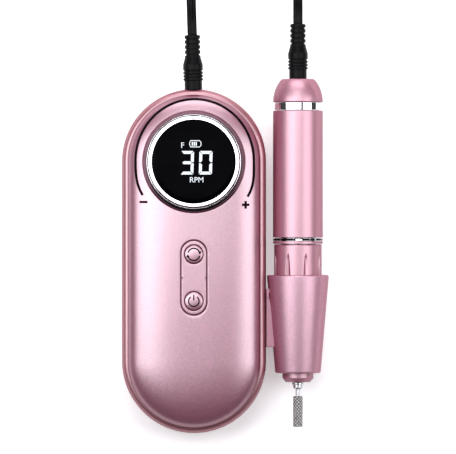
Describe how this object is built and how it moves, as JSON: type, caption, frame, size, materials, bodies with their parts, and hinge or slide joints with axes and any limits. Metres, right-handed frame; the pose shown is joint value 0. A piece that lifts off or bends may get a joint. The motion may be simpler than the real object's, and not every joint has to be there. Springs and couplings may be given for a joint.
{
  "type": "electric nail drill",
  "caption": "Portable electric nail drill: pill-shaped control box with a speed knob around a round display, two buttons, and a corded pen handpiece standing in a side cup.",
  "frame": {"origin": "on the plane that the rubber feet stand on, under the middle of the box and handpiece without the cord", "axes": "+Z out of the display, +Y along the box towards the cord end, +X from the box towards the handpiece"},
  "size_m": [0.1294, 0.3084, 0.0375],
  "materials": {
    "pink_shell": "satin metallic pink paint with fine sparkle",
    "pink_trim": "smooth metallic pink paint, a little darker",
    "pink_holder": "satin metallic pink paint with fine sparkle",
    "pink_barrel": "satin metallic pink paint",
    "chrome": "polished",
    "steel": "machined",
    "brass": "machined",
    "abrasive": "diamond grit",
    "black_glass": "clear gloss over black",
    "display_white": "lit segments",
    "dark_print": "printed line",
    "black_plastic": "moulded",
    "white_plastic": "moulded",
    "black_rubber": "moulded, satin",
    "cord_black": "smooth flexible sheath",
    "circuit_board": "solder mask",
    "cell_wrap": "shrink wrap over a metal can"
  },
  "bodies": {
    "control_box": {"front_shell": "pink_shell", "side_band": "pink_trim", "rear_shell": "pink_trim", "button_panel": "pink_shell", "holder_cup": "pink_holder", "case_screw_1": "steel", "case_screw_2": "steel", "case_screw_3": "steel", "case_screw_4": "steel", "foot_1": "black_rubber", "foot_2": "black_rubber", "foot_3": "black_rubber", "foot_4": "black_rubber", "main_board": "circuit_board", "direction_switch": "black_plastic", "power_switch": "black_plastic", "battery_cell_left": "cell_wrap", "battery_cell_right": "cell_wrap", "battery_cradle": "white_plastic", "output_jack": "black_plastic", "charge_jack": "steel", "encoder_body": "black_plastic", "display_tower": "black_plastic", "display_module": "white_plastic", "display_lens": "black_glass", "plug_main": "black_rubber", "plug_main_barrel": "brass", "cord_tube_main": "cord_black", "cord_coil": "cord_black", "cord_tie": "black_rubber"},
    "knob": {"speed_knob": "chrome", "knob_gear": "white_plastic"},
    "encoder": {"encoder_pinion": "white_plastic"},
    "direction_key": {"direction_button": "pink_shell"},
    "power_key": {"power_button": "pink_shell"},
    "handpiece": {"tail_cap": "pink_barrel", "tail_ring": "chrome", "handpiece_jack": "black_plastic", "barrel": "pink_barrel", "motor_can": "steel", "motor_end_bell": "white_plastic", "collar_ring": "chrome", "collar_flange": "pink_barrel", "spindle_housing": "steel", "rear_bearing": "steel", "front_bearing": "steel", "nose_tip": "pink_barrel", "plug_handpiece": "black_rubber", "plug_handpiece_barrel": "brass", "cord_tube_handpiece": "cord_black"},
    "lock_sleeve": {"twist_sleeve": "pink_barrel", "cam_ring": "brass"},
    "drive": {"motor_shaft": "steel", "drive_coupling": "brass", "spindle": "steel", "collet_spring": "steel"},
    "chuck": {"collet": "steel"},
    "bit": {"bit_shank": "steel", "bit_head": "abrasive"}
  },
  "joints": [
    {"name": "knob_turn", "type": "hinge", "parent": "control_box", "child": "knob", "pos_m": [-0.01578, 0.04695, 0.034], "axis": [0, 0, -1], "continuous": true},
    {"name": "encoder_turn", "type": "hinge", "parent": "control_box", "child": "encoder", "pos_m": [-0.01578, 0.02695, 0.026], "axis": [0, 0, -1], "continuous": true},
    {"name": "direction_press", "type": "slide", "parent": "control_box", "child": "direction_key", "axis": [0, 0, -1], "range_m": [0, 0.0007], "stiffness_N_per_m": 800, "springref_m": -0.0008},
    {"name": "power_press", "type": "slide", "parent": "control_box", "child": "power_key", "axis": [0, 0, -1], "range_m": [0, 0.0007], "stiffness_N_per_m": 800, "springref_m": -0.0008},
    {"name": "handpiece_lift", "type": "slide", "parent": "control_box", "child": "handpiece", "axis": [0, 1, 0], "range_m": [0, 0.08]},
    {"name": "lock_turn", "type": "hinge", "parent": "handpiece", "child": "lock_sleeve", "pos_m": [0.03623, -0.01, 0.01685], "axis": [0, 1, 0], "range_deg": [0, 45]},
    {"name": "spindle_spin", "type": "hinge", "parent": "handpiece", "child": "drive", "pos_m": [0.03623, -0.01, 0.01685], "axis": [0, 1, 0], "continuous": true},
    {"name": "collet_open", "type": "slide", "parent": "drive", "child": "chuck", "axis": [0, -1, 0], "range_m": [0, 0.0012]},
    {"name": "bit_pull", "type": "slide", "parent": "chuck", "child": "bit", "axis": [0, -1, 0], "range_m": [0, 0.03]}
  ],
  "couplings": [
    {"joint": "encoder_turn", "follows": "knob_turn", "ratio": -4},
    {"joint": "collet_open", "follows": "lock_turn", "m_per_rad": 0.0015}
  ]
}
